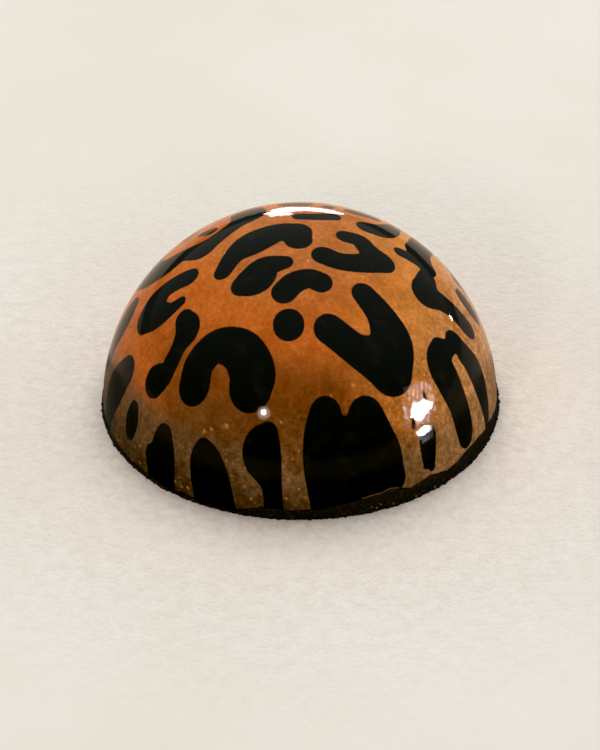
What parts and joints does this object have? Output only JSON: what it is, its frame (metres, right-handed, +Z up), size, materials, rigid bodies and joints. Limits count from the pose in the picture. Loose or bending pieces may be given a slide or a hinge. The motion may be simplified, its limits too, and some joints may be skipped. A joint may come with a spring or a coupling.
{
  "type": "chocolate praline",
  "caption": "Half-round moulded chocolate praline with a glossy leopard-spot print and a thin dark closing layer at its foot.",
  "frame": {"origin": "middle of the flat foot, on the surface that the praline stands on", "axes": "+Z up through the top of the dome, -Y towards the side that the picture shows, +X to its right"},
  "size_m": [0.0304, 0.0303, 0.015],
  "materials": {
    "printed_shell": "glossy moulded cocoa butter, bronze shimmer with near-black spots",
    "dark_chocolate": "satin dark chocolate"
  },
  "bodies": {
    "root": {"dome_shell": "printed_shell", "foot_layer": "dark_chocolate"}
  },
  "joints": []
}
